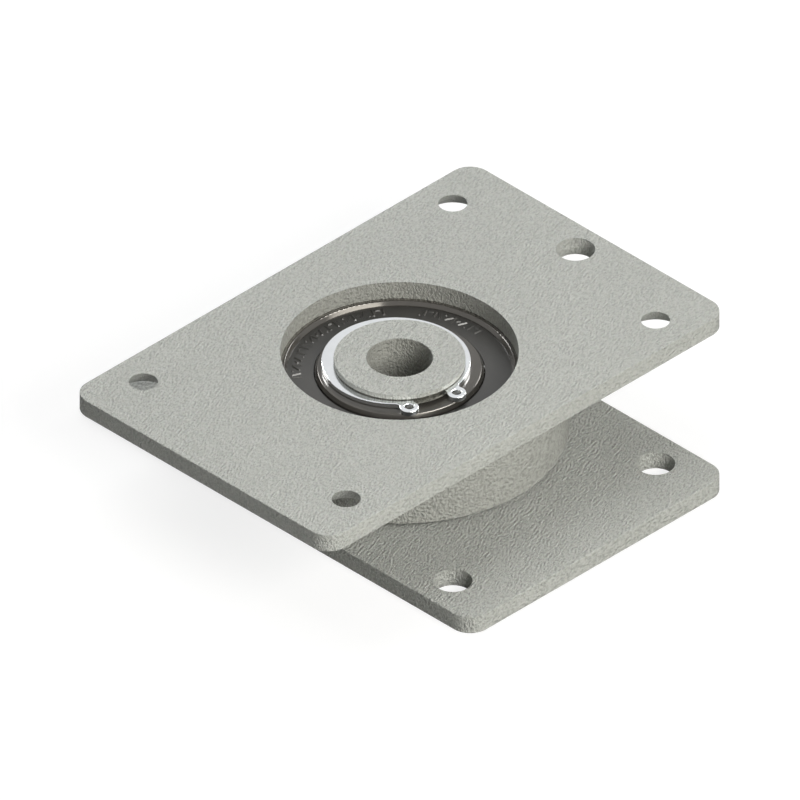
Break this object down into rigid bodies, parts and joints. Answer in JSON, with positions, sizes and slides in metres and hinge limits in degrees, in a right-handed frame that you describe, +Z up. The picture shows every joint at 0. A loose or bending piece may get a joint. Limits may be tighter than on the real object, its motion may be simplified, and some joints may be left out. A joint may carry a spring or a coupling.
{
  "type": "turntable bearing",
  "caption": "Furniture swivel: a rectangular upper plate turns on a crossed lower plate about a sealed ball bearing on a hollow spindle, with screw holes near the plates' corners.",
  "frame": {"origin": "on the swivel axis at the lower plate's underside", "axes": "+Z up along the swivel axis, +X along the upper plate's long side, towards its access hole"},
  "size_m": [0.15, 0.15, 0.0318],
  "materials": {
    "plate_coat": "light grey rough powder coat with a fine hammered grain",
    "weld_bead": "rippled weld bead under the same grey coat",
    "bearing_steel": "ground and polished bearing steel",
    "ball_steel": "mirror polished",
    "spring_steel": "bright spring steel",
    "cage_steel": "pressed sheet, satin",
    "seal_rubber": "dark grey moulded rubber, semi-gloss"
  },
  "bodies": {
    "base": {"bottom_plate": "plate_coat", "spindle": "plate_coat", "spindle_weld": "weld_bead", "inner_ring": "bearing_steel", "retaining_ring": "spring_steel"},
    "turntable": {"top_plate": "plate_coat", "bearing_housing": "plate_coat", "housing_weld": "weld_bead", "outer_ring": "bearing_steel", "upper_seal": "seal_rubber", "lower_seal": "seal_rubber"},
    "cage": {"cage_upper": "cage_steel", "cage_lower": "cage_steel", "cage_rivets": "cage_steel"},
    "ball_01": {"ball_01": "ball_steel"},
    "ball_02": {"ball_02": "ball_steel"},
    "ball_03": {"ball_03": "ball_steel"},
    "ball_04": {"ball_04": "ball_steel"},
    "ball_05": {"ball_05": "ball_steel"},
    "ball_06": {"ball_06": "ball_steel"},
    "ball_07": {"ball_07": "ball_steel"},
    "ball_08": {"ball_08": "ball_steel"},
    "ball_09": {"ball_09": "ball_steel"},
    "ball_10": {"ball_10": "ball_steel"},
    "ball_11": {"ball_11": "ball_steel"}
  },
  "joints": [
    {"name": "swivel", "type": "hinge", "parent": "base", "child": "turntable", "pos_m": [0, 0, 0.01955], "axis": [0, 0, 1], "continuous": true},
    {"name": "cage_orbit", "type": "hinge", "parent": "base", "child": "cage", "pos_m": [0, 0, 0.01955], "axis": [0, 0, 1], "continuous": true},
    {"name": "ball_01_roll", "type": "hinge", "parent": "cage", "child": "ball_01", "pos_m": [0.02425, 0, 0.01955], "axis": [0, 0, 1], "continuous": true},
    {"name": "ball_02_roll", "type": "hinge", "parent": "cage", "child": "ball_02", "pos_m": [0.0204, 0.01311, 0.01955], "axis": [0, 0, 1], "continuous": true},
    {"name": "ball_03_roll", "type": "hinge", "parent": "cage", "child": "ball_03", "pos_m": [0.01007, 0.02206, 0.01955], "axis": [0, 0, 1], "continuous": true},
    {"name": "ball_04_roll", "type": "hinge", "parent": "cage", "child": "ball_04", "pos_m": [-0.00345, 0.024, 0.01955], "axis": [0, 0, 1], "continuous": true},
    {"name": "ball_05_roll", "type": "hinge", "parent": "cage", "child": "ball_05", "pos_m": [-0.01588, 0.01833, 0.01955], "axis": [0, 0, 1], "continuous": true},
    {"name": "ball_06_roll", "type": "hinge", "parent": "cage", "child": "ball_06", "pos_m": [-0.02327, 0.00683, 0.01955], "axis": [0, 0, 1], "continuous": true},
    {"name": "ball_07_roll", "type": "hinge", "parent": "cage", "child": "ball_07", "pos_m": [-0.02327, -0.00683, 0.01955], "axis": [0, 0, 1], "continuous": true},
    {"name": "ball_08_roll", "type": "hinge", "parent": "cage", "child": "ball_08", "pos_m": [-0.01588, -0.01833, 0.01955], "axis": [0, 0, 1], "continuous": true},
    {"name": "ball_09_roll", "type": "hinge", "parent": "cage", "child": "ball_09", "pos_m": [-0.00345, -0.024, 0.01955], "axis": [0, 0, 1], "continuous": true},
    {"name": "ball_10_roll", "type": "hinge", "parent": "cage", "child": "ball_10", "pos_m": [0.01007, -0.02206, 0.01955], "axis": [0, 0, 1], "continuous": true},
    {"name": "ball_11_roll", "type": "hinge", "parent": "cage", "child": "ball_11", "pos_m": [0.0204, -0.01311, 0.01955], "axis": [0, 0, 1], "continuous": true}
  ],
  "couplings": [
    {"joint": "cage_orbit", "follows": "swivel", "ratio": 0.58183},
    {"joint": "ball_01_roll", "follows": "swivel", "ratio": 2.9731},
    {"joint": "ball_02_roll", "follows": "swivel", "ratio": 2.9731},
    {"joint": "ball_03_roll", "follows": "swivel", "ratio": 2.9731},
    {"joint": "ball_04_roll", "follows": "swivel", "ratio": 2.9731},
    {"joint": "ball_05_roll", "follows": "swivel", "ratio": 2.9731},
    {"joint": "ball_06_roll", "follows": "swivel", "ratio": 2.9731},
    {"joint": "ball_07_roll", "follows": "swivel", "ratio": 2.9731},
    {"joint": "ball_08_roll", "follows": "swivel", "ratio": 2.9731},
    {"joint": "ball_09_roll", "follows": "swivel", "ratio": 2.9731},
    {"joint": "ball_10_roll", "follows": "swivel", "ratio": 2.9731},
    {"joint": "ball_11_roll", "follows": "swivel", "ratio": 2.9731}
  ]
}
